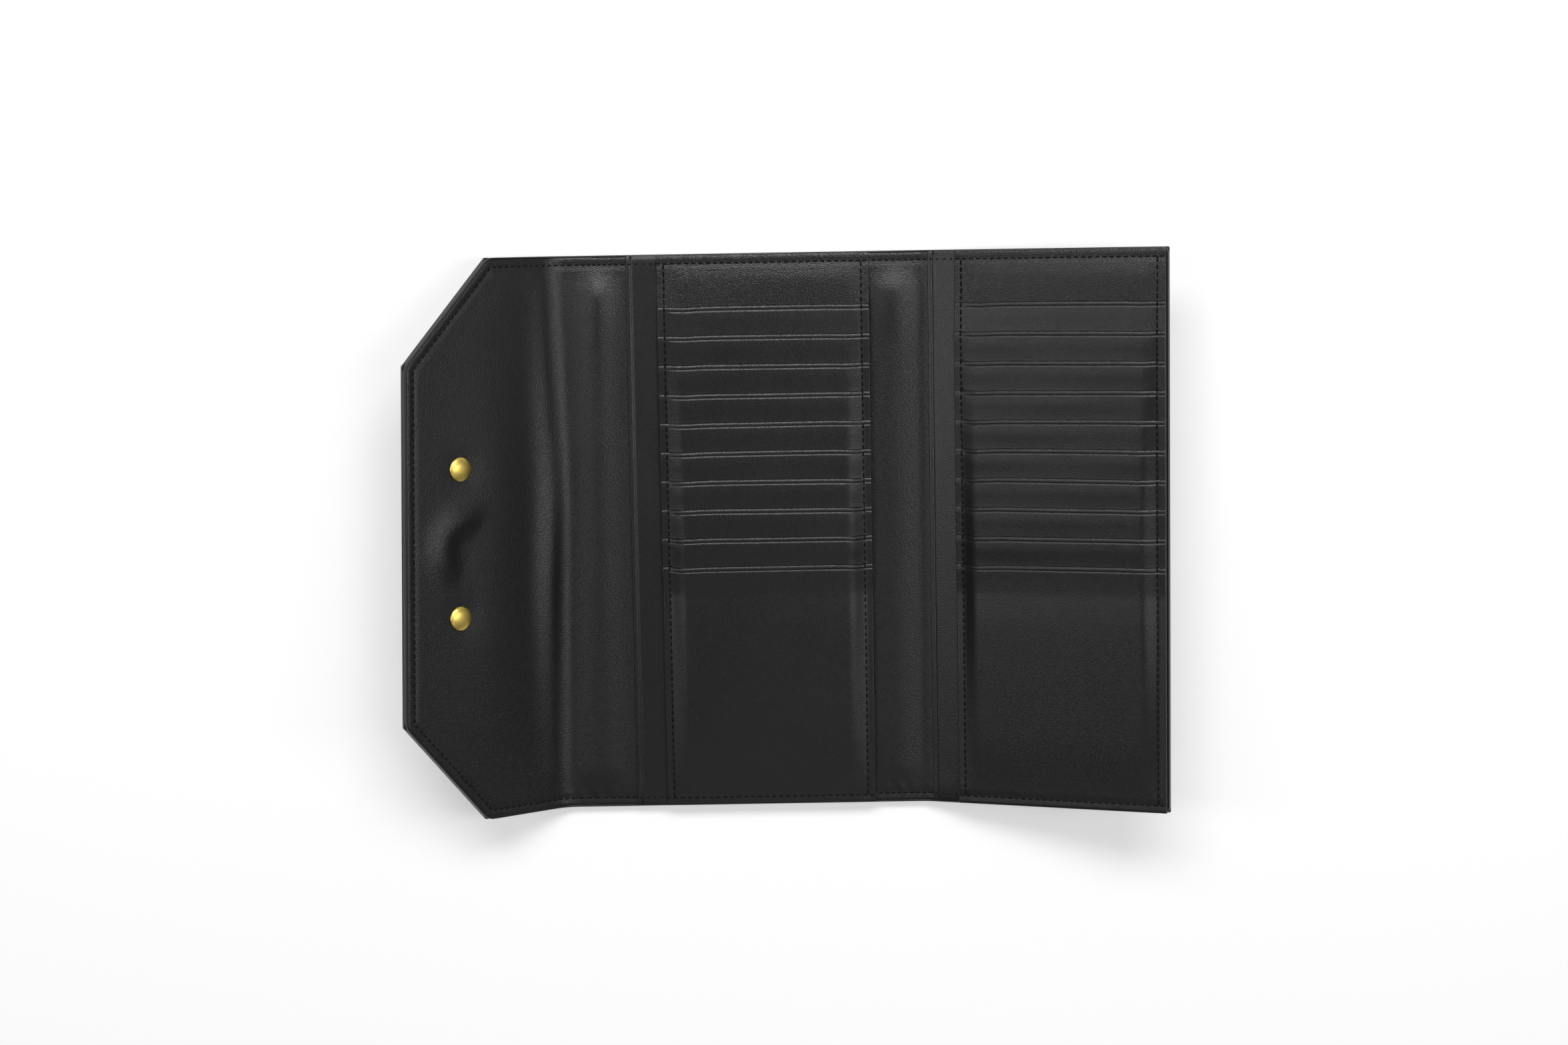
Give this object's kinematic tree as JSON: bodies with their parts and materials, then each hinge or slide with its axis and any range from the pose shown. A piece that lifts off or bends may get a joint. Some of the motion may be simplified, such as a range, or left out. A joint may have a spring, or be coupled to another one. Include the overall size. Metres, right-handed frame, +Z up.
{
  "type": "tri-fold flap wallet",
  "caption": "Long leather wallet lying open: a cut-corner flap, and back and front panels that hold shingled card pockets and note sleeves.",
  "frame": {"origin": "centre of the back panel's outer face, on the surface that the open wallet lies on", "axes": "+X from the flap towards the front panel, +Y along the wallet's length towards the top of the card banks, +Z up, out of the open wallet"},
  "size_m": [0.2552, 0.19, 0.0391],
  "materials": {
    "outer_leather": "black pebbled leather, semi-matt",
    "lining_leather": "black pebbled leather, satin",
    "pocket_leather": "black fine-grained leather, satin",
    "bonded_board": "matt bonded board",
    "gilt_brass": "satin gilt",
    "magnet_steel": "plated"
  },
  "bodies": {
    "back_panel": {"cover_back": "outer_leather", "board_back": "bonded_board", "lining_back": "lining_leather", "back_note_sleeve": "lining_leather", "back_bank_backing": "pocket_leather", "back_card_pocket_1": "pocket_leather", "back_card_pocket_2": "pocket_leather", "back_card_pocket_3": "pocket_leather", "back_card_pocket_4": "pocket_leather", "back_card_pocket_5": "pocket_leather", "back_card_pocket_6": "pocket_leather", "back_card_pocket_7": "pocket_leather", "back_card_pocket_8": "pocket_leather", "back_card_pocket_9": "pocket_leather", "back_card_pocket_10": "pocket_leather"},
    "flap_spine": {"cover_flap_spine": "outer_leather", "board_flap_spine": "bonded_board", "lining_flap_spine": "lining_leather"},
    "flap": {"cover_flap": "outer_leather", "board_flap": "bonded_board", "lining_flap": "lining_leather", "magnet_flap": "magnet_steel", "rivet_upper_inner_cap": "gilt_brass", "rivet_upper_outer_cap": "gilt_brass", "rivet_lower_inner_cap": "gilt_brass", "rivet_lower_outer_cap": "gilt_brass"},
    "front_spine": {"cover_front_spine": "outer_leather", "board_front_spine": "bonded_board", "lining_front_spine": "lining_leather"},
    "front_panel": {"cover_front": "outer_leather", "board_front": "bonded_board", "lining_front": "lining_leather", "front_note_sleeve": "lining_leather", "front_bank_backing": "pocket_leather", "front_card_pocket_1": "pocket_leather", "front_card_pocket_2": "pocket_leather", "front_card_pocket_3": "pocket_leather", "front_card_pocket_4": "pocket_leather", "front_card_pocket_5": "pocket_leather", "front_card_pocket_6": "pocket_leather", "front_card_pocket_7": "pocket_leather", "front_card_pocket_8": "pocket_leather", "front_card_pocket_9": "pocket_leather", "front_card_pocket_10": "pocket_leather", "magnet_front": "magnet_steel"}
  },
  "joints": [
    {"name": "flap_spine_fold", "type": "hinge", "parent": "back_panel", "child": "flap_spine", "pos_m": [-0.0428, 0, 0.003], "axis": [0, 1, 0], "range_deg": [0, 90], "deforming": ["cover_flap_spine", "lining_flap_spine"]},
    {"name": "flap_fold", "type": "hinge", "parent": "flap_spine", "child": "flap", "pos_m": [-0.0649, 0, 0.003], "axis": [0, 1, 0], "range_deg": [-37, 53], "deforming": ["cover_flap_spine", "lining_flap_spine"]},
    {"name": "front_spine_fold", "type": "hinge", "parent": "back_panel", "child": "front_spine", "pos_m": [0.0428, 0, 0.003], "axis": [0, -1, 0], "range_deg": [0, 90], "deforming": ["cover_front_spine", "lining_front_spine"]},
    {"name": "front_fold", "type": "hinge", "parent": "front_spine", "child": "front_panel", "pos_m": [0.0598, 0, 0.003], "axis": [0, -1, 0], "range_deg": [-19, 71], "deforming": ["cover_front_spine", "lining_front_spine"]}
  ]
}
